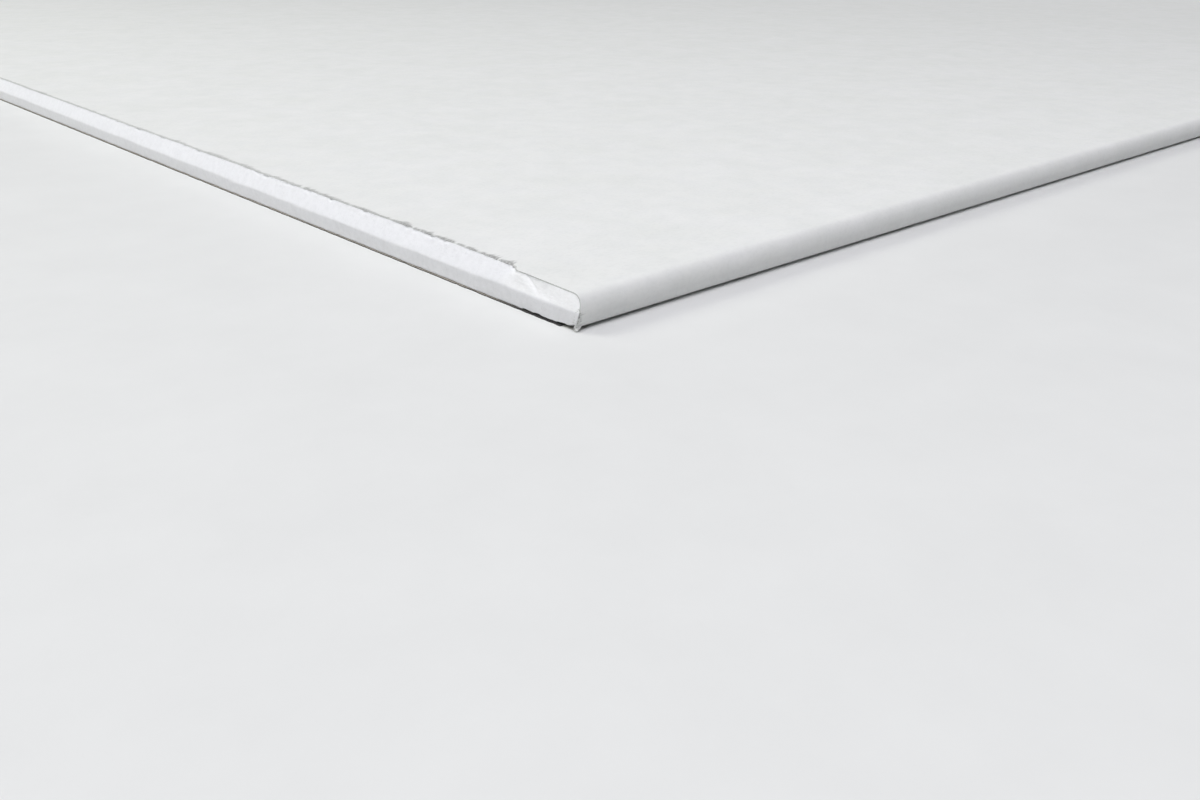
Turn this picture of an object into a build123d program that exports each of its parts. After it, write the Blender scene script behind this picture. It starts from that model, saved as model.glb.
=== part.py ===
from build123d import *
import os

# A paper-faced gypsum board, lying flat with its face up and its back on the floor.
# X runs along the sheet's length, Y across its width and Z through its thickness.
# The origin is the middle of the back. All sizes are in millimetres.

# The sheet: its length, its width between the widest lines of the long edges, its thickness
length = 2000.0
width = 1200.0
thickness = 12.5

# The paper: the face paper is folded round both long edges and onto the back,
# and the back paper laps over that flap and leaves a strip of it showing
face_paper_thickness = 0.4
back_paper_thickness = 0.4
flap_width = 25.0
flap_showing = 7.0

# The long edges: the face falls away towards the edge and rolls over to an upright band,
# whose foot is the widest line, and the edge draws in straight from there to the back
taper_width = 50.0
taper_depth = 0.8
roll_radius = 3.8
widest_height = 6.0
undercut = 1.9

# The cut ends: a lower facet stands square, and an upper one leans back above the ridge
cut_ridge_height = 6.0
cut_set_back = 4.2

# The step in the near end's cut: beside one long edge the upper facet leans back less
step_set_back = 1.6
step_from_edge = 35.0
step_foot_from_edge = 18.0

# How far a cutting tool reaches past what it cuts
overshoot = 5.0

half_length = length / 2
half_width = width / 2
back_half_width = half_width - undercut
flap_inner = back_half_width - flap_width
back_paper_half_width = back_half_width - flap_showing
flat_half_width = half_width - taper_width

# The roll takes most of the upright band at the very most
edge_top = thickness - taper_depth
roll = min(roll_radius, 0.9 * (edge_top - widest_height))


# The section of the sheet inside and outside the wrapped paper
with BuildSketch(Plane.YZ.offset(-half_length)) as wrapped_section:
    with BuildLine():
        Polyline(
            (back_half_width, back_paper_thickness),
            (half_width, widest_height),
            (half_width, edge_top),
            (flat_half_width, thickness),
        )
        mirror(about=Plane.YZ)
        Line((-flat_half_width, thickness), (flat_half_width, thickness))
        Line((-back_half_width, back_paper_thickness), (back_half_width, back_paper_thickness))
    make_face()
    left_corner = vertices().group_by(Axis.X)[0].sort_by(Axis.Y)[-1]
    right_corner = vertices().group_by(Axis.X)[-1].sort_by(Axis.Y)[-1]
    fillet([left_corner, right_corner], radius=roll)

with BuildSketch(Plane.YZ.offset(-half_length)) as core_section:
    add(wrapped_section.sketch_local)
    offset(amount=-face_paper_thickness, kind=Kind.INTERSECTION, mode=Mode.REPLACE)
    with Locations((0, back_paper_thickness + face_paper_thickness / 2)):
        Rectangle(2 * flap_inner, face_paper_thickness)

with BuildSketch(Plane.YZ.offset(-half_length)) as paper_section:
    add(wrapped_section.sketch_local)
    add(core_section.sketch_local, mode=Mode.SUBTRACT)


# The knife's cuts above the ridge, as the wedges that they take off the near end
def cutting_wedge(set_back):
    """Make the wedge in front of an upper facet that leans back by set_back at the face."""
    wedge_top = thickness + overshoot
    lean = set_back / (thickness - cut_ridge_height)
    top_set_back = lean * (wedge_top - cut_ridge_height)
    with BuildPart() as wedge:
        with BuildSketch(Plane.XZ):
            with BuildLine():
                Polyline(
                    (-half_length, cut_ridge_height),
                    (-half_length + top_set_back, wedge_top),
                    (-half_length - overshoot, wedge_top),
                    (-half_length - overshoot, cut_ridge_height),
                    close=True,
                )
            make_face()
        extrude(amount=half_width + overshoot, both=True)
    return wedge.part


stepped_cut = cutting_wedge(step_set_back)
full_cut = cutting_wedge(cut_set_back)
far_cut = full_cut.mirror(Plane.YZ)

# The full lean stops at a slanted wall, from the face down to the ridge nearer the edge
step_foot = Vector(-half_length, step_foot_from_edge - half_width, cut_ridge_height)
step_run = step_from_edge - step_foot_from_edge
step_rise = thickness - cut_ridge_height
step_wall = Plane(origin=step_foot, x_dir=(1, 0, 0), z_dir=(0, step_rise, -step_run))
with BuildPart() as leaning_cut:
    add(full_cut)
    split(bisect_by=step_wall, keep=Keep.TOP)


# The core: gypsum, cut to the two facets at both ends
with BuildPart() as gypsum_core:
    extrude(core_section.sketch, amount=length)
    add(stepped_cut, mode=Mode.SUBTRACT)
    add(leaning_cut.part, mode=Mode.SUBTRACT)
    add(far_cut, mode=Mode.SUBTRACT)

# The face paper: one skin over the face, both long edges and the flaps on the back
with BuildPart() as face_paper:
    extrude(paper_section.sketch, amount=length)
    add(stepped_cut, mode=Mode.SUBTRACT)
    add(leaning_cut.part, mode=Mode.SUBTRACT)
    add(far_cut, mode=Mode.SUBTRACT)

# The back paper: a flat sheet that laps over both flaps
with BuildPart() as back_paper:
    with BuildSketch(Plane.XY):
        Rectangle(length, 2 * back_paper_half_width)
    extrude(amount=back_paper_thickness)


os.makedirs("parts", exist_ok=True)

gypsum_core.part.label = "gypsum_core"
export_step(gypsum_core.part, "parts/gypsum_core.step")

face_paper.part.label = "face_paper"
export_step(face_paper.part, "parts/face_paper.step")

back_paper.part.label = "back_paper"
export_step(back_paper.part, "parts/back_paper.step")
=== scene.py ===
# %% [markdown]
# # A gypsum board on a pale floor
#
# The board is a slab of gypsum between two papers. A knife has cut its ends, so each end shows
# what the board is made of: white gypsum, and the papers as thin torn lines. This lesson loads
# the measured board first, because every piece made here has to lie exactly where it is.

# %% Load the measured board
import math
import random

import bmesh
import bpy
from mathutils import Matrix, Vector, noise


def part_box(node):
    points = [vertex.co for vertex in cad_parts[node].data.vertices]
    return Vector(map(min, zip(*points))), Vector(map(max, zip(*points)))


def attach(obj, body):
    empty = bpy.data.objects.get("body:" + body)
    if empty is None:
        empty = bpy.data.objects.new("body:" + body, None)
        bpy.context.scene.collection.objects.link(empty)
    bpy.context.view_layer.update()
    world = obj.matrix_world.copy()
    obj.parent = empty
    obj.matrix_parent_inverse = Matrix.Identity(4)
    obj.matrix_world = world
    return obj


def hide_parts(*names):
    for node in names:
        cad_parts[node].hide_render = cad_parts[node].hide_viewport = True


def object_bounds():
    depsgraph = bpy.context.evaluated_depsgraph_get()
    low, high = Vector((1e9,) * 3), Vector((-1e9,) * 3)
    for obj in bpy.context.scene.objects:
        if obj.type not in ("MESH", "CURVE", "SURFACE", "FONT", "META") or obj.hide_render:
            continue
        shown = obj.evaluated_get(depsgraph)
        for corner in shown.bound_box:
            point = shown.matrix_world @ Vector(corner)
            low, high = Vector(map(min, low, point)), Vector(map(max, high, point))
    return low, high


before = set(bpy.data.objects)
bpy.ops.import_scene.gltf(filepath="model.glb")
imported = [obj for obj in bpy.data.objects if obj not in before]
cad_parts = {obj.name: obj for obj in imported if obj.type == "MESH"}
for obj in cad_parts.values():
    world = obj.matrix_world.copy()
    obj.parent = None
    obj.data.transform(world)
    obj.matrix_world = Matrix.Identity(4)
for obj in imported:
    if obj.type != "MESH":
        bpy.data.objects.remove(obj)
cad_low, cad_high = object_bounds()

MM = 0.001  # a millimetre, in Blender's metres
print("board", [round(v, 4) for v in cad_high - cad_low], "m")

# %% [markdown]
# ## The camera
#
# A board only 12.5 mm thick looks right only from the height of a hand above it, so the camera
# comes before any shape. It could be aimed with a Track To constraint, but a camera held in a
# hand is also rolled a little. Writing its matrix gives all three turns at once: the columns
# are the camera's right, its up, and the opposite of where it looks.

# %% Place the camera
camera_place = Vector((-1.2044, -0.8292, 0.117))
camera_lens = 33.165  # millimetres
heading, pitch, roll = math.radians(42.92), math.radians(24.24), math.radians(0.69)
upright = Vector((0, 0, 1))
level_right = Vector((math.cos(heading), -math.sin(heading), 0))
level_ahead = Vector((math.sin(heading), math.cos(heading), 0))
look = math.cos(pitch) * level_ahead - math.sin(pitch) * upright
level_up = math.sin(pitch) * level_ahead + math.cos(pitch) * upright
right = math.cos(roll) * level_right + math.sin(roll) * level_up
up = math.cos(roll) * level_up - math.sin(roll) * level_right

camera = bpy.data.objects.new("camera", bpy.data.cameras.new("camera"))
bpy.context.collection.objects.link(camera)
turns = Matrix((right, up, -look)).transposed().to_4x4()
camera.matrix_world = Matrix.Translation(camera_place) @ turns
camera.data.lens = camera_lens
camera.data.clip_start = 0.01
bpy.context.scene.camera = camera
print("camera", [round(v, 3) for v in camera.location], "looks along", [round(v, 2) for v in look])

# %% [markdown]
# ## The floor and the light
#
# The board is nearly white, so its shapes are told only by how much light each face gets. Two
# wide lamps hang high to the left and right of the camera. They give the most to the face and to
# the facet that leans back, less to the upright facet, and the least to the long edge low down,
# which is lit by the floor. A dome of even light would be simpler, but it shines under the board
# from the side. So the world gives a little light from overhead and none from low down, and the
# thin gap under the board stays dark. The camera itself sees a plain pale world. A third lamp
# lights the far end. Its light is held in a narrow cone, so that the near end gets none of it.

# %% Lay the floor and hang the lamps
floor_half = 12
floor_bm = bmesh.new()
bmesh.ops.create_grid(floor_bm, x_segments=1, y_segments=1, size=floor_half)
floor_mesh = bpy.data.meshes.new("floor")
floor_bm.to_mesh(floor_mesh)
floor_bm.free()
floor = bpy.data.objects.new("floor", floor_mesh)
bpy.context.collection.objects.link(floor)


def hang_lamp(name, place, target, size, energy, colour, spread=180):
    """Hang a square soft lamp that faces its target and spreads its light over this angle in degrees."""
    lamp = bpy.data.objects.new(name, bpy.data.lights.new(name, "AREA"))
    bpy.context.collection.objects.link(lamp)
    lamp.data.size, lamp.data.energy, lamp.data.color = size, energy, colour
    lamp.data.spread = math.radians(spread)
    lamp.location = place
    lamp.rotation_euler = (Vector(target) - lamp.location).to_track_quat("-Z", "Y").to_euler()
    print(name, energy, "W,", round((Vector(target) - lamp.location).length, 2), "m away")


near_part, far_part = (-0.8, -0.45, 0), (1.3, 0.25, 0)
hang_lamp("left", (-2.1, 0.85, 1.54), near_part, 1.2, 20.8, (1.0, 1.02, 0.942))
hang_lamp("right", (-1.55, -1.39, 2.08), near_part, 1.2, 31.6, (0.995, 0.985, 1.035))
hang_lamp("far", (1.6, 0.4, 1.9), far_part, 1.4, 4.4, (1, 1, 1), spread=76)

# %% [markdown]
# ## Nodes by code
#
# The world and the materials are made of shader nodes. In the editor a node is a few clicks, and
# in a script a few lines, so three helpers take up what repeats. One adds a node with its
# settings, one sends a value through a Color Ramp, and one mixes two colours.

# %% Helpers for nodes


def add_node(tree, kind, values=(), **settings):
    """Add a node, set its properties and its sockets' values."""
    node = tree.nodes.new("ShaderNode" + kind)
    for key, value in settings.items():
        setattr(node, key, value)
    for key, value in dict(values).items():
        node.inputs[key].default_value = value
    return node


def ramp(tree, source, *stops):
    """A Color Ramp through stops of (place, (r, g, b))."""
    node = add_node(tree, "ValToRGB")
    points = node.color_ramp.elements
    while len(points) < len(stops):
        points.new(0.5)
    for point, (place, colour) in zip(points, stops):
        point.position = place
        point.color = (*colour, 1)
    tree.links.new(source, node.inputs["Fac"])
    return node.outputs["Color"]


def mix(tree, fac, first, second, blend="MIX"):
    """Mix two colours. Any of the three may be an output or a fixed value."""
    node = add_node(tree, "Mix", data_type="RGBA", blend_type=blend)
    sockets = [s for s in node.inputs if s.enabled]
    for socket, value in zip(sockets, (fac, first, second)):
        if isinstance(value, bpy.types.NodeSocket):
            tree.links.new(value, socket)
        else:
            socket.default_value = value if isinstance(value, float) else (*value, 1)
    return next(s for s in node.outputs if s.enabled)


print("nodes can be joined")

# %% Make the world dim, and dark at the horizon
pale = (0.8, 0.81, 0.81)  # what the camera sees past the floor
world = bpy.data.worlds.new("world")
bpy.context.scene.world = world
world.use_nodes = True
tree = world.node_tree
direction = add_node(tree, "TexCoord")
parts = add_node(tree, "SeparateXYZ")
tree.links.new(direction.outputs["Generated"], parts.inputs["Vector"])
upward = parts.outputs["Z"]  # 0 at the horizon and 1 overhead
sky = ramp(tree, upward, (0.22, (0, 0, 0)), (0.5, (0.12, 0.121, 0.127)), (0.7, (0.46, 0.463, 0.478)))
rays = add_node(tree, "LightPath")
seen = rays.outputs["Is Camera Ray"]
for kind in ("Is Glossy Ray", "Is Transmission Ray"):
    either = add_node(tree, "Math", operation="MAXIMUM")
    tree.links.new(seen, either.inputs[0])
    tree.links.new(rays.outputs[kind], either.inputs[1])
    seen = either.outputs["Value"]
tree.links.new(mix(tree, seen, sky, pale), tree.nodes["Background"].inputs["Color"])
bpy.context.scene.view_settings.view_transform = "Standard"
print("world:", len(tree.nodes), "nodes")

# %% [markdown]
# ## The line of the paper
#
# The face paper is one strip as wide as the face, both long edges and a flap on the back. It is
# easiest to think of it unrolled: any place on it is a distance along the paper from the middle
# of the face. A function can then fold that distance round the board. First it runs flat, then
# down the taper, round the roll, down the upright band, in along the undercut and back under.
# Thick paper never folds to a sharp corner, so each place is the mean of the line just around it.

# %% Read the measured boxes and name the sizes of the section
core_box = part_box("gypsum_core")
wrap_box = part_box("face_paper")
liner_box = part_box("back_paper")

half_length, half_width, board_top = cad_high.x, cad_high.y, cad_high.z
paper = wrap_box[1].z - core_box[1].z
liner = liner_box[1].z
hair = 0.02 * MM  # the gap between two pieces, so that they never share a face

taper_width, taper_depth = 50 * MM, 0.8 * MM
roll_radius = 3.8 * MM
widest_height, undercut = 6.0 * MM, 1.9 * MM
flap_width = 25 * MM
back_half_width = half_width - undercut
bend_reach, back_bend_reach = 1.2 * MM, 1.8 * MM  # how far a fold is softened, and more at the back

taper_angle = math.atan2(taper_depth, taper_width)
roll_y = half_width - roll_radius
roll_z = board_top - taper_depth - roll_radius * (1 - math.sin(taper_angle)) / math.cos(taper_angle)

flat_run = half_width - taper_width
taper_run = (roll_y + roll_radius * math.sin(taper_angle) - flat_run) / math.cos(taper_angle)
roll_run = roll_radius * (math.pi / 2 - taper_angle)
band_run = roll_z - widest_height
under_run = math.hypot(undercut, widest_height - liner)
back_corner = flat_run + taper_run + roll_run + band_run + under_run
roll_middle = flat_run + taper_run + roll_run / 2
print("paper", round(paper / MM, 2), "mm thick, strip", round(2 * (back_corner + flap_width), 4), "m wide")

# %% Fold a distance along the paper round the board


def section(distance):
    """Across and up, for a distance along the paper's outer side from the middle of the face."""
    if distance < flat_run:
        return distance, board_top
    distance -= flat_run
    if distance < taper_run:
        return flat_run + distance * math.cos(taper_angle), board_top - distance * math.sin(taper_angle)
    distance -= taper_run
    if distance < roll_run:
        turn = taper_angle + distance / roll_radius
        return roll_y + roll_radius * math.sin(turn), roll_z + roll_radius * math.cos(turn)
    distance -= roll_run
    if distance < band_run:
        return half_width, roll_z - distance
    distance -= band_run
    if distance < under_run:
        share = distance / under_run
        return half_width - undercut * share, widest_height + (liner - widest_height) * share
    return back_half_width - (distance - under_run), liner


def smooth_step(low, high, value):
    """Rise smoothly from 0 at low to 1 at high."""
    t = min(max((value - low) / (high - low), 0.0), 1.0)
    return t * t * (3 - 2 * t)


def fold(distance, depth):
    """Across and up, at this depth under the paper's outer side. Minus distances go to the near edge."""
    side = -1 if distance < 0 else 1
    distance = abs(distance)
    soft = bend_reach + back_bend_reach * smooth_step(back_corner - 5 * MM, back_corner - 2 * MM, distance)
    line = [section(distance + soft * k / 4) for k in range(-4, 5)]
    across = sum(p[0] for p in line) / len(line)
    rise = sum(p[1] for p in line) / len(line)
    run_y, run_z = line[-1][0] - line[0][0], line[-1][1] - line[0][1]
    run = math.hypot(run_y, run_z)
    return side * (across + run_z / run * depth), rise - run_y / run * depth


print("widest line", round(fold(back_corner - under_run - band_run / 2, 0)[0], 5), "m out")

# %% [markdown]
# ## The knife's cut
#
# A board is scored through its face, snapped, and trimmed. That leaves two facets on the end: a
# lower one that stands almost square and an upper one that leans back, with a soft ridge between.
# Beside the near long edge the knife ran out, so the upper facet leans back less there. The lean
# changes quickly at the face and slowly near the ridge. A little further on, a slanted crest rolls
# over into a fine groove. One function gives the depth of the cut at any place on the end. The
# core and the face paper both ask it, so they meet along the same line.

# %% Name the sizes of the cut
ridge_height, ridge_softness = 6.0 * MM, 0.35 * MM
facet_height = board_top - ridge_height
set_back, step_set_back, foot_set_back = 4.2 * MM, 1.6 * MM, 0.35 * MM
step_from_edge, step_drift = 32.4 * MM, 7 * MM  # at the face, and how much further it is at the ridge
step_softness, step_widening = 1.7 * MM, 8 * MM  # half the step's width at the face, and more at the ridge
crest_foot_from_edge, crest_top_from_edge = 17.8 * MM, 28 * MM
crest_width, crest_widening, crest_fall = 2.2 * MM, 3.6 * MM, 0.11  # it is wider towards the face
hollow_depth, hollow_run = 0.5 * MM, 14 * MM
groove_depth, groove_before, groove_after = 0.28 * MM, 1.3 * MM, 0.5 * MM  # and how far it reaches each way
print("upper facet", round(facet_height / MM, 2), "mm high, set back", round(set_back / MM, 2), "mm")

# %% Describe the slanted crest and its groove


def hum(x, y, z, size):
    """Smooth noise, mostly between -0.5 and 0.5, with humps of about this size."""
    return noise.noise(Vector((x, y, z)) / size)


def facet_share(z):
    """How far up the upper facet this height lies, from 0 at the ridge to 1 at the face."""
    return min(max((z - ridge_height) / facet_height, 0), 1)


def beyond_crest(y, z):
    """How far this place on the near end lies past the slanted crest, away from the long edge."""
    crest_run = crest_top_from_edge - crest_foot_from_edge
    return y + half_width - crest_foot_from_edge - crest_run * facet_share(z)


def crest_hollow(beyond, rise):
    """How much deeper the facet is round the crest: it hollows out towards it, and rolls over past it."""
    width = crest_width + crest_widening * min(rise, 1)
    rolled = 1 - (1 - min(max(beyond / width, 0), 1)) ** 2
    hollow = hollow_depth * smooth_step(-hollow_run, 0, beyond) - crest_fall * width * rolled
    fade = min(rise * 2.5, 1) * (1 - 0.85 * smooth_step(0.75, 1, rise))
    return hollow * fade


def crest_groove(beyond, rise):
    """How deep the fine groove along the crest is. It fades out towards the ridge and the face."""
    reach = groove_after if beyond > 0 else groove_before
    close = max(1 - abs(beyond) / reach, 0)
    return groove_depth * smooth_step(0.05, 0.5, rise) * (1 - smooth_step(0.8, 1, rise)) * close


print("groove", round(crest_groove(0, 0.6) / MM, 2), "mm deep")

# %% Describe the whole cut


def full_lean(y, z):
    """How much of the full lean the near end's upper facet has here, from 0 beside the edge to 1."""
    low = 1 - facet_share(z)
    middle, soft = step_from_edge + step_drift * low, step_softness + step_widening * low
    return smooth_step(middle - soft, middle + soft, y + half_width)


def cut_depth(y, z, near):
    """How far behind the end's plane the cut lies at this place, on the near or the far end."""
    seed = 0 if near else 9
    wander = 0.5 * MM * hum(y, 0, seed, 30 * MM) + 0.25 * MM * hum(y, 5, seed, 7 * MM)
    above = z - ridge_height - wander
    rise = (above + math.hypot(above, ridge_softness)) / 2 / facet_height
    deep = set_back * rise * (1 + 0.08 * hum(y, 7, seed, 90 * MM))
    foot = foot_set_back * max(-above / ridge_height, 0)
    if not near:
        return deep + foot
    share = full_lean(y, z)
    beyond = beyond_crest(y, z)
    shallow = step_set_back * rise + crest_hollow(beyond, rise)
    return shallow * (1 - share) + deep * share + crest_groove(beyond, rise) + foot


print("the face is cut", round(cut_depth(0, board_top, True) / MM, 2), "mm behind the end's foot")

# %% [markdown]
# ## A grid that keeps its address
#
# Core and papers are all thick slabs, but with very different detail: none in the middle, and a
# lot at the cut ends. Each starts as a flat grid, which is extruded into layers. Every vertex
# remembers its column, row and layer, so that a function can put it in its place afterwards.
# Extruding again has to take the grid before it away, or its faces stay inside the slab. Blender
# does that only when it is given the region's edges too, so each layer hands on all that it made.
# An edge without exactly two faces would give such a fault away, and each piece counts them.

# %% Make a layered grid and spread its columns


def layered_grid(columns, rows, layers):
    """A flat grid extruded into this many layers, closed all round, with each vertex's address."""
    bm = bmesh.new()
    keys = [bm.verts.layers.int.new(name) for name in ("column", "row", "layer")]
    for v in bmesh.ops.create_grid(bm, x_segments=columns, y_segments=rows, size=1)["verts"]:
        v[keys[0]] = round((v.co.x + 1) / 2 * columns)
        v[keys[1]] = round((v.co.y + 1) / 2 * rows)
    region = bm.verts[:] + bm.edges[:] + bm.faces[:]
    for level in range(1, layers):
        region = bmesh.ops.extrude_face_region(bm, geom=region, use_keep_orig=level == 1)["geom"]
        for v in region:
            if isinstance(v, bmesh.types.BMVert):
                v[keys[2]] = level
    return bm, keys


def spread(spans):
    """The places of grid lines, from spans that each have a length and a number of steps."""
    places = [0.0]
    for length, count in spans:
        start = places[-1]
        places += [start + length * (k + 1) / count for k in range(count)]
    return places


def rows_along(close, steps):
    """Where grid lines cross the board: these, in millimetres, from each end, and even steps between."""
    board_length = 2 * half_length
    middle = [board_length * k / steps for k in range(1, steps)]
    return [d * MM for d in close] + middle + [board_length - d * MM for d in reversed(close)]


def finish_piece(bm, name, sharp=35):
    """Turn a bmesh into a piece that rides on the board, with edges over this many degrees left sharp."""
    bmesh.ops.recalc_face_normals(bm, faces=bm.faces[:])
    for f in bm.faces:
        f.smooth = True
    for e in bm.edges:
        e.smooth = e.calc_face_angle(0) < math.radians(sharp)
    unpaired = sum(not e.is_manifold for e in bm.edges)
    mesh = bpy.data.meshes.new(name)
    bm.to_mesh(mesh)
    bm.free()
    piece = bpy.data.objects.new(name, mesh)
    bpy.context.collection.objects.link(piece)
    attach(piece, "root")
    triangles = sum(len(p.vertices) - 2 for p in mesh.polygons)
    print(name, triangles, "triangles,", unpaired, "edges without two faces")
    return piece


# %% [markdown]
# ## The gypsum core
#
# Only the two cut ends of the core show. So its layers are the near end, a ring just behind it, a
# ring just before the far end, and the far end. Each is bent to the section by blending its four
# sides, and the two ends are then pushed back to the cut. Gypsum doesn't cut like wood: it
# crumbles. So it has grain, and chips are missing under the paper where the knife broke through.
# Two numbers ride along for its material. One says how smooth the knife left a place, and it also
# paints light and shade: the facet beside the edge, which leans back less, is lightened, and the
# lower facet is darkened. The other marks the underside, which is painted dark: torn paper stuck
# there, and painted shade for the gap under the board.

# %% Bend the end grid to the core's section
core_rows = 34
core_spans = [(64 * MM, 180), (140 * MM, 200), (400 * MM, 250)]  # from the near edge, finest first
core_rest = 2 * roll_middle - sum(length for length, count in core_spans)
core_places = spread(core_spans + [(core_rest, 190)])
under = paper + hair
foot_y = fold(back_corner, under)[0]


def underside(share):
    """The core's underside, with share from -1 at the near edge to 1 at the far one."""
    along = foot_y * (1 - abs(share))
    if along > flap_width:
        return share * foot_y, liner + hair
    return fold(math.copysign(back_corner + along, share), under)


climbs = [back_corner - row / core_rows * (back_corner - roll_middle) for row in range(core_rows + 1)]
near_side = [fold(-climb, under) for climb in climbs]
far_side = [fold(climb, under) for climb in climbs]
core_section = []  # for each column, across and up for each row
for place in core_places:
    s = place / core_places[-1]
    low, high = underside(2 * s - 1), fold(place - roll_middle, under)
    column = []
    for row in range(core_rows + 1):
        t = row / core_rows
        blend = []
        for k in (0, 1):
            bottom = low[k] - (1 - s) * near_side[0][k] - s * far_side[0][k]
            top = high[k] - (1 - s) * near_side[-1][k] - s * far_side[-1][k]
            blend.append((1 - t) * bottom + t * top + (1 - s) * near_side[row][k] + s * far_side[row][k])
        column.append(blend)
    core_section.append(column)
print(len(core_section), "columns by", core_rows + 1, "rows of gypsum")

# %% Say how the gypsum crumbles
gypsum_grain = [(0.03, 0.9), (0.06, 2.3), (0.14, 11)]  # how deep and how wide, in millimetres
clean_to, rough_from = 28 * MM, 36 * MM  # how far from the near edge the knife cut cleanly


def crumble(y, z, top, near):
    """How far the gypsum is broken away at this place, behind the cut, with the paper's inside at top."""
    seed = 0 if near else 20
    grain = sum(deep * hum(y, z, seed, wide * MM) for deep, wide in gypsum_grain)
    rough = smooth_step(clean_to, rough_from, y + half_width) if near else 1.0
    broken = max(hum(y, 3, seed, 4.2 * MM) + 0.7 * hum(y, 9, seed, 1.3 * MM) - 0.02, 0)
    chips = 1.1 * broken * rough * (1 - smooth_step(0.2 * MM, 1.3 * MM, top - z))
    crumbs = max(hum(y, z, seed + 4, 1.1 * MM) - 0.22, 0) * rough
    crumbs *= 1 - smooth_step(0.8 * MM, 2.2 * MM, top - z)
    return (0.1 + grain + chips - 0.9 * crumbs) * MM


def missing_foot(y, near):
    """How much of the end's lower edge is missing: a sliver, and more beside the near corner."""
    jagged = 0.12 * max(hum(y, 1, near, 3 * MM) + 0.3 * hum(y, 4, near, 0.9 * MM), 0)
    if not near:
        return (0.1 + jagged) * MM
    from_edge = y + half_width
    lapped = 1 - smooth_step(22 * MM, 26 * MM, from_edge)
    notches = 0.4 * max(hum(y, 2, 0, 3.4 * MM) + 0.6 * hum(y, 6, 0, 1.2 * MM), 0)
    bumped = smooth_step(1.5 * MM, 3 * MM, from_edge) * (1 - smooth_step(7 * MM, 11 * MM, from_edge))
    return (0.16 + jagged + lapped * (notches - 0.12) + 0.4 * bumped) * MM


print("missing foot", round(missing_foot(-half_width + 0.01, True) / MM, 2), "mm at 10 mm from the edge")

# %% Shape the core
ring_behind = 9 * MM  # how far the two hidden rings lie behind the cut
foot_lift_run = 3.2 * MM  # how high up the missing foot still lifts the grid
core_bm, (column_key, row_key, layer_key) = layered_grid(len(core_places) - 1, core_rows, 4)
knifed_and_lit_key = core_bm.verts.layers.float.new("knifed_and_lit")
for v in core_bm.verts:
    column = core_section[v[column_key]]
    y, z = column[v[row_key]]
    top = column[-1][1]
    near = v[layer_key] < 2
    at_end = v[layer_key] in (0, 3)
    climbed = v[row_key] / core_rows * (top - liner)
    back = cut_depth(y, z, near)
    # The knife cut the upper facet cleanly beside the near edge, and only scraped it elsewhere. This
    # number also paints light and shade: it lightens the cleanly cut facet and darkens the lower one.
    smoothed_and_lit = 1 - 0.4 * min(1.4 * full_lean(y, z), 1) if near else 0.6
    v[knifed_and_lit_key] = smoothed_and_lit * smooth_step(-0.3 * MM, 0.5 * MM, z - ridge_height)
    if at_end:
        foot = missing_foot(y, near)
        back += crumble(y, z, top, near) + 0.5 * foot * (1 - smooth_step(0, 0.6 * MM, climbed))
        z += foot * (1 - smooth_step(0, foot_lift_run, climbed))
    else:
        back += ring_behind
    back = max(back, 0)
    v.co = Vector((-half_length + back if near else half_length - back, y, z))
# Painted shade: the whole underside is darkened, for torn paper stuck there and for the dark gap under the
# board.
torn_and_shaded_key = core_bm.loops.layers.float.new("torn")
for f in core_bm.faces:
    underneath = all(v[row_key] == 0 for v in f.verts)
    for corner in f.loops:
        corner[torn_and_shaded_key] = 1.0 if underneath else 0.0
core_piece = finish_piece(core_bm, "core", sharp=60)
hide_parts("gypsum_core")

# %% [markdown]
# ## The face paper
#
# The strip is a layered grid too: outer side, middle and inner side. Its columns lie along the
# fold and its rows lie along the board, close together at the ends. The knife doesn't leave paper
# as a clean line. It pulls the outer ply back in places, and there the brown-grey inside of the
# paper shows. A number on each face corner says how raw the paper is there, for its material.

# %% Say where the knife tore the paper, and where it stayed whole
tears = [  # the distance from the edge and half the width, in millimetres, and how badly it tore
    (38, 2.2, 1.6), (46, 3.4, 1.0), (59, 1.6, 0.7), (72, 4.5, 0.5), (84, 3.5, 0.6),
    (98, 4.5, 0.8), (125, 3.0, 0.7), (151, 5.0, 0.6), (186, 4.0, 0.8), (232, 6.0, 0.7), (290, 5.0, 0.8),
]
smears = [  # the distance from the edge and half the width, in millimetres, and how much is covered
    (43.3, 0.7, 1.0), (54, 1.7, 0.5), (61.6, 0.9, 0.8), (67, 1.2, 1.0), (72.8, 0.6, 0.5), (79.5, 1.8, 0.55),
    (88, 0.8, 0.45), (92.5, 0.9, 0.9), (107, 1.8, 0.4), (134, 2.2, 0.5), (171, 2.0, 1.0),
]


def smeared(y, near):
    """How far wet gypsum was smeared over the paper's edge at this place, from 0 to 1."""
    if not near:
        return 0.0
    from_edge = (y + half_width) / MM
    covered = 0.0
    for place, half, full in smears:
        covered = max(covered, full * (1 - smooth_step(0.3 * half, half, abs(from_edge - place))))
    return covered


def raggedness(y, near):
    """How ragged the paper's cut is at this place along the end, from 0 for a clean cut to over 1."""
    from_edge = (y + half_width) / MM
    if not near:
        return 0.5 + max(hum(y, 8, 30, 14 * MM), 0)
    listed = max(depth * max(1 - ((from_edge - place) / half) ** 2, 0) for place, half, depth in tears)
    elsewhere = max(hum(y, 8, 0, 14 * MM) * 2, 0) * smooth_step(100, 140, from_edge)
    torn = smooth_step(34.5, 37, from_edge) * min(0.66 + 0.4 * max(listed, elsewhere), 1.4)
    return torn * (1 - 0.5 * smeared(y, near))


print("raggedness", round(raggedness(50 * MM - half_width, True), 2), "at 50 mm from the edge")

# %% Say how far each ply is pulled back
rim_torn, flap_torn, flap_waves = 0.8, 6.2, 1.5  # how far the flap is torn back, in millimetres


def corner_fray(distance, near):
    """How frayed the paper is round the near corner: from 0 above the widest line to 1 below it."""
    if distance > 0 or not near:
        return 0.0
    return smooth_step(back_corner - under_run - band_run, back_corner - under_run, -distance)


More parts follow.
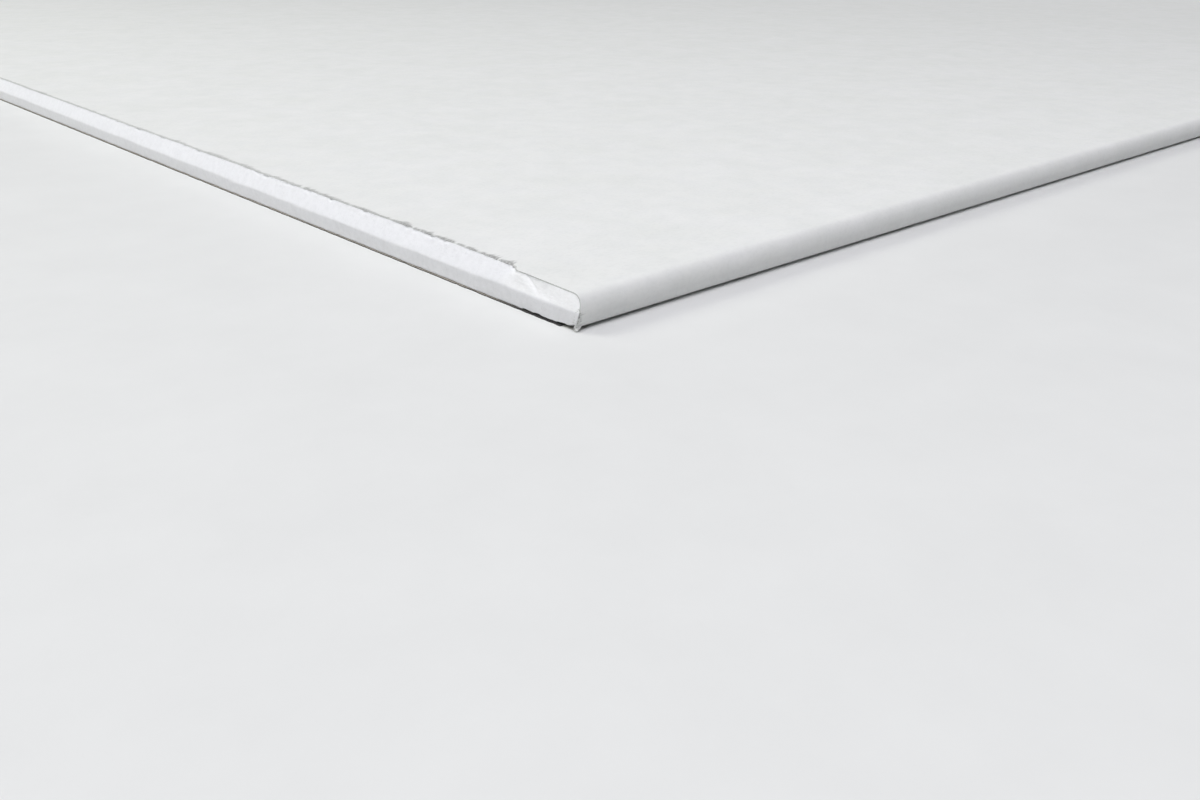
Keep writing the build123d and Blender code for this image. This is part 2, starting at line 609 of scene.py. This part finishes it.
def pulled_back(distance, y, layer, near):
    """How far a ply of the paper ends behind the cut, in metres."""
    seed = 0 if near else 30
    jagged = 0.75 + 0.5 * hum(y, 1, seed, 2.6 * MM) + 0.4 * hum(y, 4, seed, 0.8 * MM)
    pull = raggedness(y, near) * max(jagged, 0.1) * (1, 0.5, 0)[layer]
    if near and -distance > back_corner - 0.6 * MM:
        torn_off = smooth_step(back_corner - 0.6 * MM, back_corner + 1.6 * MM, -distance)
        return (rim_torn + torn_off * (flap_torn + flap_waves * hum(y, 2, layer, 2.5 * MM))) * MM
    if near and corner_fray(distance, near):
        z = -distance - back_corner
        fuzz = 0.6 + 0.9 * hum(z, 1, layer, 1.4 * MM) + 0.7 * hum(z, 5, layer, 0.5 * MM)
        pull = corner_fray(distance, near) * max(fuzz, 0.1) * (1.0, 0.6, 0.3)[layer]
    return pull * MM


wrap_rows = rows_along([0, 0.25, 0.55, 1.0, 1.7, 3.0, 6.0, 14.0, 40.0], 8)
edge_run = 15 * MM
flap_run = back_corner + flap_width - (roll_middle + edge_run)
face_spans = [(60 * MM, 170), (140 * MM, 200), (400 * MM, 250)]
face_rest = 2 * roll_middle - sum(length for length, count in face_spans)
wrap_places = spread([
    (flap_run, 14), (edge_run, 44), *face_spans, (face_rest, 190), (edge_run, 30), (flap_run, 10),
])
print(len(wrap_places), "columns by", len(wrap_rows), "rows of paper")

# %% Fold the face paper
wrap_bm, (column_key, row_key, layer_key) = layered_grid(len(wrap_places) - 1, len(wrap_rows) - 1, 3)
raw_key = wrap_bm.loops.layers.float.new("raw")
paper_half_run = back_corner + flap_width
wrap_columns = []  # for each column, the place of each ply, then its pull and how bare it is at each end
for place in wrap_places:
    distance = place - paper_half_run
    plies = [fold(distance, ply / 2 * paper) for ply in range(3)]
    outer_y = plies[0][0]
    faded = 1 - 0.3 * smooth_step(90 * MM, 230 * MM, outer_y + half_width)
    pulls, bare = [], []
    for near in (False, True):
        pulls.append([pulled_back(distance, y, ply, near) for ply, (y, z) in enumerate(plies)])
        torn = max(raggedness(outer_y, near), corner_fray(distance, near))
        bare.append((0.5 + 0.5 * min(torn, 1)) * (1 - 0.6 * smeared(outer_y, near)) * faded)
    wrap_columns.append((plies, pulls, bare))

bareness = {}
for v in wrap_bm.verts:
    plies, pulls, bare = wrap_columns[v[column_key]]
    y, z = plies[v[layer_key]]
    along = wrap_rows[v[row_key]]
    near = along < half_length
    behind = along if near else 2 * half_length - along
    # The cut shifts the rows near an end, less and less up to 80 mm behind it
    ends = 1 - smooth_step(15 * MM, 80 * MM, behind)
    pull = pulls[near][v[layer_key]]
    pull *= 1 - smooth_step(0, max(2 * MM, 3.5 * pull), behind)
    jitter = 0.04 * MM * hum(y, z, v[layer_key], 0.6 * MM) * (1 - smooth_step(0, 1 * MM, behind))
    back = max(behind + ends * cut_depth(y, z, near) + pull + jitter, 0)
    bareness[v] = bare[near], pull / MM
    v.co = Vector((-half_length + back if near else half_length - back, y, z))
last_row = len(wrap_rows) - 1
for f in wrap_bm.faces:
    at_end = all(v[row_key] in (0, last_row) for v in f.verts)
    for corner in f.loops:
        bare, pull = bareness[corner.vert]
        corner[raw_key] = bare if at_end else min(max(pull - 0.15, 0), 0.6) * bare
print("paper folded,", len(wrap_bm.verts), "vertices")

# %% [markdown]
# Torn paper also leaves shreds: thin pale flakes of a single ply that still hang on by one end.
# Hair would draw them too, but hair isn't in the exported mesh, so each shred is a tiny strip: a
# grid of a few faces, tapered, curled and given a thickness by extruding it. Most are too small
# to see one by one. Round the bumped corner they are larger, and each is listed.

# %% Shape one shred


def add_shred(bm, raw_layer, root, run, across, curl, thick=0.1 * MM):
    """Add a strip from root along run, as wide as across, tapered and bent by curl at its tip."""
    grid = bmesh.ops.create_grid(bm, x_segments=4, y_segments=2, size=0.5)["verts"]
    for v in grid:
        out, side = v.co.x + 0.5, v.co.y
        wave = 0.25 * min(across.length, 0.5 * MM) * math.sin(7 * out + 5 * side)
        place = root + run * out + across * side * (1 - 0.7 * out) + curl * out**2
        place += curl.normalized() * wave * out
        v.co = [min(max(p, low + thick), high - thick) for p, low, high in zip(place, cad_low, cad_high)]
    faces = list(dict.fromkeys(f for v in grid for f in v.link_faces))
    edges = list(dict.fromkeys(e for f in faces for e in f.edges))
    top = bmesh.ops.extrude_face_region(bm, geom=grid + edges + faces, use_keep_orig=True)["geom"]
    raised = [v for v in top if isinstance(v, bmesh.types.BMVert)]
    bmesh.ops.translate(bm, verts=raised, vec=run.cross(across).normalized() * thick)
    for v in grid + raised:
        for corner in v.link_loops:
            corner[raw_layer] = 0.2


shred_bm = bmesh.new()
shred_raw = shred_bm.loops.layers.float.new("raw")
corner_shreds = [  # behind the end, from the edge, up, then the run, the width and the curl, in millimetres
    ((0.6, 0.9, 6.6), (-0.35, 0.9, -0.5), (0, 0.2, 0.5), (-0.1, 0.1, 0.2)),
    ((0.6, 0.8, 5.6), (-0.5, 0.5, -0.7), (0.1, 0.5, 0.2), (-0.1, -0.2, 0.2)),
    ((0.6, 1.0, 4.8), (-0.35, 1.2, -0.3), (0, 0.2, 0.8), (-0.1, 0.3, 0.3)),
    ((0.6, 1.2, 3.9), (-0.45, 1.5, 0.2), (0, 0.1, 0.9), (-0.1, 0.2, -0.4)),
    ((0.6, 1.4, 3.0), (-0.4, 1.7, -0.4), (0, 0.3, 0.9), (-0.1, 0.1, 0.4)),
    ((0.6, 1.5, 2.2), (-0.35, 1.1, -0.6), (0, 0.5, 0.6), (-0.1, -0.2, 0.1)),
    ((0.6, 1.7, 1.5), (-0.35, 0.5, -1.2), (0.1, 0.9, 0.2), (-0.1, 0.1, 0.1)),
    ((0.9, 1.7, 2.0), (-0.6, -0.1, -1.5), (-1.3, 1.7, 0.1), (-0.05, 0.05, 0)),
    ((1.7, 1.2, 2.3), (-0.6, 0.1, -1.2), (1.3, -0.2, 0.3), (-0.1, -0.1, 0)),
    ((0.6, 0.5, 4.4), (-0.3, -0.3, -0.6), (0.2, 0.2, 0.6), (0, -0.1, 0.1)),
    ((0.6, 0.9, 3.3), (-0.3, -0.4, -0.5), (0.2, 0.1, 0.7), (0, -0.1, 0.1)),
]
for (behind, from_edge, height), run, across, curl in corner_shreds:
    root = Vector((-half_length + behind * MM, -half_width + from_edge * MM, height * MM))
    add_shred(shred_bm, shred_raw, root, Vector(run) * MM, Vector(across) * MM, Vector(curl) * MM)
print(len(corner_shreds), "shreds on the corner")

# %% Fuzz the corner with smaller shreds
fuzz_count = 70
dice = random.Random(7)
for k in range(fuzz_count):
    y, z = fold(dice.uniform(under_run + 0.6 * band_run, 0) - back_corner, paper * dice.random())
    root = Vector((-half_length + 0.9 * MM, y, z))
    run = Vector((dice.uniform(-0.9, -0.4), dice.uniform(-0.25, 0.7), dice.uniform(-0.8, 0.4))) * MM
    across = Vector((0.05, dice.uniform(-0.2, 0.2), 0.2 + 0.3 * dice.random())) * MM
    curl = Vector((0.1, dice.uniform(-0.3, 0.4), dice.uniform(-0.3, 0.3))) * MM
    add_shred(shred_bm, shred_raw, root, run, across, curl, thick=0.05 * MM)
print(fuzz_count, "shreds of fuzz")

# %% Scatter small shreds along both cuts and join them all to the paper
scatter_count = 150
for k in range(scatter_count):
    near = k % 3 > 0
    if near:
        y = -half_width + (37.5 + 500 * dice.random() ** 2) * MM
    else:
        y = (dice.random() - 0.5) * 1.9 * flat_run
    z = board_top - paper * (0.3 + 0.7 * dice.random())
    out = 1 if near else -1
    root = Vector((out * (-half_length + cut_depth(y, z, near) + 0.35 * MM), y, z))
    forward = -out * (0.35 + 0.4 * dice.random())
    run = Vector((forward, dice.uniform(-0.6, 0.6), dice.uniform(-0.5, 0.05))) * MM
    across = Vector((0, 0.12 + 0.25 * dice.random(), 0.05)) * MM
    add_shred(shred_bm, shred_raw, root, run, across, Vector((0, 0.05, -0.15)) * MM, thick=0.06 * MM)
shreds = bpy.data.meshes.new("shreds")
shred_bm.to_mesh(shreds)
shred_bm.free()
wrap_bm.from_mesh(shreds)
wrap_piece = finish_piece(wrap_bm, "face_sheet")
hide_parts("face_paper")

# %% [markdown]
# ## The back paper
#
# The back is a coarser, browner paper, pasted over the two flaps. Its long sides are straight from
# the mill. At the near end it is torn off a little short of the gypsum. Its torn edge is painted
# near black, most beside the bumped corner: painted shade, so it draws a dark line under the board.

# %% Say how the back paper frays and how dirty it is


def liner_fray(y, layer, near):
    """How far the back paper ends behind the end of the board, in metres."""
    frayed = 0.3 + 0.4 * hum(y, 0, 40 + 5 * near, 2.2 * MM) + 0.3 * hum(y, 3, layer, 0.8 * MM)
    if near:
        frayed = 0.08 + 0.5 * max(frayed - 0.3, -0.1) + 0.3 * max(hum(y, 7, 0, 5 * MM), 0)
    return max(frayed, 0) * MM


def painted_gap_shade(place):
    """How much painted shade the back paper gets here, from 0 to 1 at the near end beside the bumped
    corner.
    """
    behind, from_edge = place.x + half_length, place.y + half_width
    return (1 - smooth_step(20 * MM, 60 * MM, from_edge)) * (1 - smooth_step(1 * MM, 6 * MM, behind))


print("back paper", round(liner_fray(0, 0, True) / MM, 2), "mm short in the middle of the near end")

# %% Lay the back paper
liner_half = liner_box[1].y
liner_spans = [(60 * MM, 120), (540 * MM, 400)]
liner_rest = 2 * liner_half - sum(length for length, count in liner_spans)
liner_places = spread(liner_spans + [(liner_rest, 240)])
liner_rows = rows_along([0, 0.4, 1, 2, 4, 10, 40], 4)
liner_bm, (column_key, row_key, layer_key) = layered_grid(len(liner_places) - 1, len(liner_rows) - 1, 3)
raw_key = liner_bm.loops.layers.float.new("raw")
for v in liner_bm.verts:
    y = liner_places[v[column_key]] - liner_half
    ply = v[layer_key] / 2
    along = liner_rows[v[row_key]]
    near = along < half_length
    behind = along if near else 2 * half_length - along
    back = behind + liner_fray(y, v[layer_key], near) * (1 - smooth_step(2 * MM, 24 * MM, behind))
    v.co = Vector((-half_length + back if near else half_length - back, y, hair + ply * (liner - 2 * hair)))
last_row, last_column = len(liner_rows) - 1, len(liner_places) - 1
for f in liner_bm.faces:
    at_end = all(v[row_key] in (0, last_row) for v in f.verts)
    at_side = all(v[column_key] in (0, last_column) for v in f.verts)
    for corner in f.loops:
        edge_and_gap_shade = painted_gap_shade(corner.vert.co)
        # Painted shade: the near end's rim is mixed almost wholly to near black for the gap under the
        # board; the other rims less, for their raw cut edge.
        if at_end or at_side:
            at_near_end = corner.vert.co.x + half_length < 3 * MM
            edge_and_gap_shade = 0.9 + 0.1 * edge_and_gap_shade if at_near_end else 0.6
        corner[raw_key] = edge_and_gap_shade
liner_piece = finish_piece(liner_bm, "back_sheet")
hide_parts("back_paper")

# %% [markdown]
# ## The materials
#
# All three are matt and have hardly any colour, so their difference lies in the grain. Each pattern
# reads Object coordinates, which are metres here, so a Noise Texture's scale is the number of
# humps in a metre: 400 gives 2.5 mm. Gypsum is chalky with a fine pitted grain, the face paper has
# soft clouds and short fibres, and the back paper has brown and pale flecks from its old fibres.

# %% More helpers for the materials


def new_material(name):
    """A material with its nodes, and the Principled shader that ends it."""
    material = bpy.data.materials.new(name)
    material.use_nodes = True
    return material, material.node_tree, material.node_tree.nodes["Principled BSDF"]


def noise_on(tree, coords, scale, detail=4, stretch=None, turn=(0, 0, 0)):
    """A Noise Texture on object coordinates, with its scale in humps to the metre."""
    texture = add_node(tree, "TexNoise", {"Scale": scale, "Detail": detail, "Roughness": 0.6})
    source = coords.outputs["Object"]
    if stretch:
        mapping = add_node(tree, "Mapping", {"Scale": stretch, "Rotation": turn})
        tree.links.new(source, mapping.inputs["Vector"])
        source = mapping.outputs["Vector"]
    tree.links.new(source, texture.inputs["Vector"])
    return texture.outputs["Fac"]


def bump(tree, height, shader, distance, strength=1.0, after=None):
    """Drive the shader's normal by a height. Give the one before as after to add to it."""
    node = add_node(tree, "Bump", {"Distance": distance, "Strength": strength})
    tree.links.new(height, node.inputs["Height"])
    if after:
        tree.links.new(after, node.inputs["Normal"])
    tree.links.new(node.outputs["Normal"], shader.inputs["Normal"])
    return node.outputs["Normal"]


def grey(level):
    """A colour that is the same in red, green and blue."""
    return level, level, level


print("materials can be made")

# %% Gypsum
gypsum, tree, shader = new_material("gypsum")
coords = add_node(tree, "TexCoord")
knifed_and_lit = add_node(tree, "Attribute", attribute_name="knifed_and_lit")
# Painted light and shade in one white gypsum: the facet beside the near edge is lightened and the lower
# facet darkened, partly for how smooth the knife left them.
crushed_and_shaded, scraped, sliced_and_lit = (0.828, 0.83, 0.85), (0.873, 0.878, 0.905), (0.98, 0.984, 0.997)
cut_tones_and_light = ramp(tree, knifed_and_lit.outputs["Fac"], (0.0, crushed_and_shaded), (0.6, scraped), (1.0, sliced_and_lit))
clouds = ramp(tree, noise_on(tree, coords, 130), (0.3, grey(0.975)), (0.7, grey(1)))
grains = ramp(tree, noise_on(tree, coords, 1500, detail=3), (0.28, grey(0.88)), (0.4, grey(1)))
lumps = noise_on(tree, coords, 420, detail=5)
lumpy = mix(tree, 1.0, clouds, ramp(tree, lumps, (0.36, grey(0.958)), (0.62, grey(1))), "MULTIPLY")
chalk = mix(tree, 0.7, mix(tree, 1.0, cut_tones_and_light, lumpy, "MULTIPLY"), grains, "MULTIPLY")
torn = add_node(tree, "Attribute", attribute_name="torn")
# A dark brown-grey for the underside: torn paper, and painted shade for the gap under the board.
residue_and_shade = ramp(tree, noise_on(tree, coords, 900), (0.35, (0.17, 0.165, 0.155)), (0.65, (0.3, 0.29, 0.27)))
tree.links.new(mix(tree, torn.outputs["Fac"], chalk, residue_and_shade), shader.inputs["Base Color"])
shader.inputs["Roughness"].default_value = 0.95
shader.inputs["Specular IOR Level"].default_value = 0.2
coarse = bump(tree, lumps, shader, 0.14 * MM)
strokes = noise_on(tree, coords, 1100, detail=2, stretch=(0.2, 0.35, 1.5), turn=(math.radians(38), 0, 0))
drawn = bump(tree, strokes, shader, 0.08 * MM, after=coarse)
bump(tree, noise_on(tree, coords, 2400, detail=2), shader, 0.05 * MM, after=drawn)
core_piece.data.materials.append(gypsum)
print("gypsum:", len(tree.nodes), "nodes")

# %% Face paper
face_paper, tree, shader = new_material("face paper")
coords = add_node(tree, "TexCoord")
broad, patchy = noise_on(tree, coords, 45, detail=5), noise_on(tree, coords, 110, detail=3)
short, ragged = noise_on(tree, coords, 800, stretch=(0.75, 1, 1)), noise_on(tree, coords, 1300, detail=3)
clouds = ramp(tree, broad, (0.32, (0.775, 0.785, 0.77)), (0.68, (0.808, 0.814, 0.808)))
flecks = ramp(tree, patchy, (0.35, (0.972, 0.974, 0.976)), (0.62, (1, 0.999, 0.997)))
fibres = ramp(tree, short, (0.3, grey(0.94)), (0.52, grey(1)))
face_side = mix(tree, 0.7, mix(tree, 1.0, clouds, flecks, "MULTIPLY"), fibres, "MULTIPLY")
inside = ramp(tree, ragged, (0.35, (0.255, 0.256, 0.25)), (0.65, (0.44, 0.442, 0.434)))
raw = add_node(tree, "Attribute", attribute_name="raw")
tree.links.new(mix(tree, raw.outputs["Fac"], face_side, inside), shader.inputs["Base Color"])
shader.inputs["Roughness"].default_value = 0.75
shader.inputs["Specular IOR Level"].default_value = 0.3
soft = bump(tree, noise_on(tree, coords, 150, detail=3), shader, 0.06 * MM)
bump(tree, noise_on(tree, coords, 1300, detail=3, stretch=(0.5, 1, 1)), shader, 0.025 * MM, after=soft)
wrap_piece.data.materials.append(face_paper)
print("face paper:", len(tree.nodes), "nodes")

# %% Back paper
back_paper, tree, shader = new_material("back paper")
coords = add_node(tree, "TexCoord")
clouds = ramp(tree, noise_on(tree, coords, 70), (0.3, (0.37, 0.345, 0.3)), (0.7, (0.46, 0.43, 0.375)))
fibres = noise_on(tree, coords, 700, detail=5, stretch=(0.4, 1, 1))
flecks = ramp(tree, fibres, (0.25, (0.55, 0.52, 0.48)), (0.45, (1, 1, 1)), (0.72, (1.25, 1.25, 1.2)))
tinted = mix(tree, 0.6, clouds, flecks, "MULTIPLY")
# Near black: painted shade at the near end, and the darker raw edge of the paper elsewhere.
edge_and_shade_colour = (0.05, 0.05, 0.049)
raw = add_node(tree, "Attribute", attribute_name="raw")
tree.links.new(mix(tree, raw.outputs["Fac"], tinted, edge_and_shade_colour), shader.inputs["Base Color"])
shader.inputs["Roughness"].default_value = 0.9
shader.inputs["Specular IOR Level"].default_value = 0.2
bump(tree, fibres, shader, 0.08 * MM)
liner_piece.data.materials.append(back_paper)
print("back paper:", len(tree.nodes), "nodes")

# %% [markdown]
# The floor is a pale sheet that is a little cloudy too. It ends at a horizon, and a horizon draws
# the eye. So far from the board the camera sees it fade into the pale of the world: a Light Path
# node lets only camera rays see that, and the board gets no light from it.

# %% Floor
floor_paint, tree, shader = new_material("floor")
coords = add_node(tree, "TexCoord")
cloudy = noise_on(tree, coords, 30, detail=6)
mottled = ramp(tree, cloudy, (0.3, (0.73, 0.736, 0.73)), (0.7, (0.754, 0.76, 0.754)))
tree.links.new(mottled, shader.inputs["Base Color"])
shader.inputs["Roughness"].default_value = 0.9
shader.inputs["Specular IOR Level"].default_value = 0.1
bump(tree, noise_on(tree, coords, 150, detail=3), shader, 0.05 * MM)
away = add_node(tree, "VectorMath", operation="LENGTH")
tree.links.new(coords.outputs["Object"], away.inputs[0])
fade_span = {"From Min": 1.5, "From Max": 3.4}  # metres from the middle of the board
fade = add_node(tree, "MapRange", fade_span, interpolation_type="SMOOTHSTEP")
tree.links.new(away.outputs["Value"], fade.inputs["Value"])
rays = add_node(tree, "LightPath")
faded_away = add_node(tree, "Math", operation="MULTIPLY")
tree.links.new(fade.outputs["Result"], faded_away.inputs[0])
tree.links.new(rays.outputs["Is Camera Ray"], faded_away.inputs[1])
glow = add_node(tree, "Emission", {"Color": (*pale, 1), "Strength": 1.0})
blended = add_node(tree, "MixShader")
tree.links.new(faded_away.outputs["Value"], blended.inputs[0])
tree.links.new(shader.outputs["BSDF"], blended.inputs[1])
tree.links.new(glow.outputs["Emission"], blended.inputs[2])
tree.links.new(blended.outputs["Shader"], tree.nodes["Material Output"].inputs["Surface"])
floor.data.materials.append(floor_paint)
print("floor:", len(tree.nodes), "nodes")
